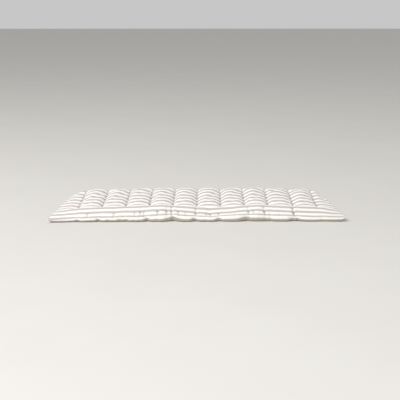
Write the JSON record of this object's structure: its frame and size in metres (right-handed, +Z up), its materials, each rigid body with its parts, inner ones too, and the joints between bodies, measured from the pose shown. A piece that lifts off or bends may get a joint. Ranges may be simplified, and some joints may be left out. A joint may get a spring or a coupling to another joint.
{
  "type": "bench cushion",
  "caption": "Long tufted bench cushion with a sewn knife edge, pointed corners and rows of soft puffs, in striped cotton ticking; lies flat on a bench seat.",
  "frame": {"origin": "on the surface it lies on, under the middle of the cushion", "axes": "+X along the length, to the right seen from the front; +Y from front to back; +Z up through the thickness"},
  "size_m": [1.1, 0.44, 0.0574],
  "materials": {
    "ticking": "matt striped cotton ticking, off-white with soft grey stripes along the length"
  },
  "bodies": {
    "root": {"cushion": "ticking"}
  },
  "joints": []
}
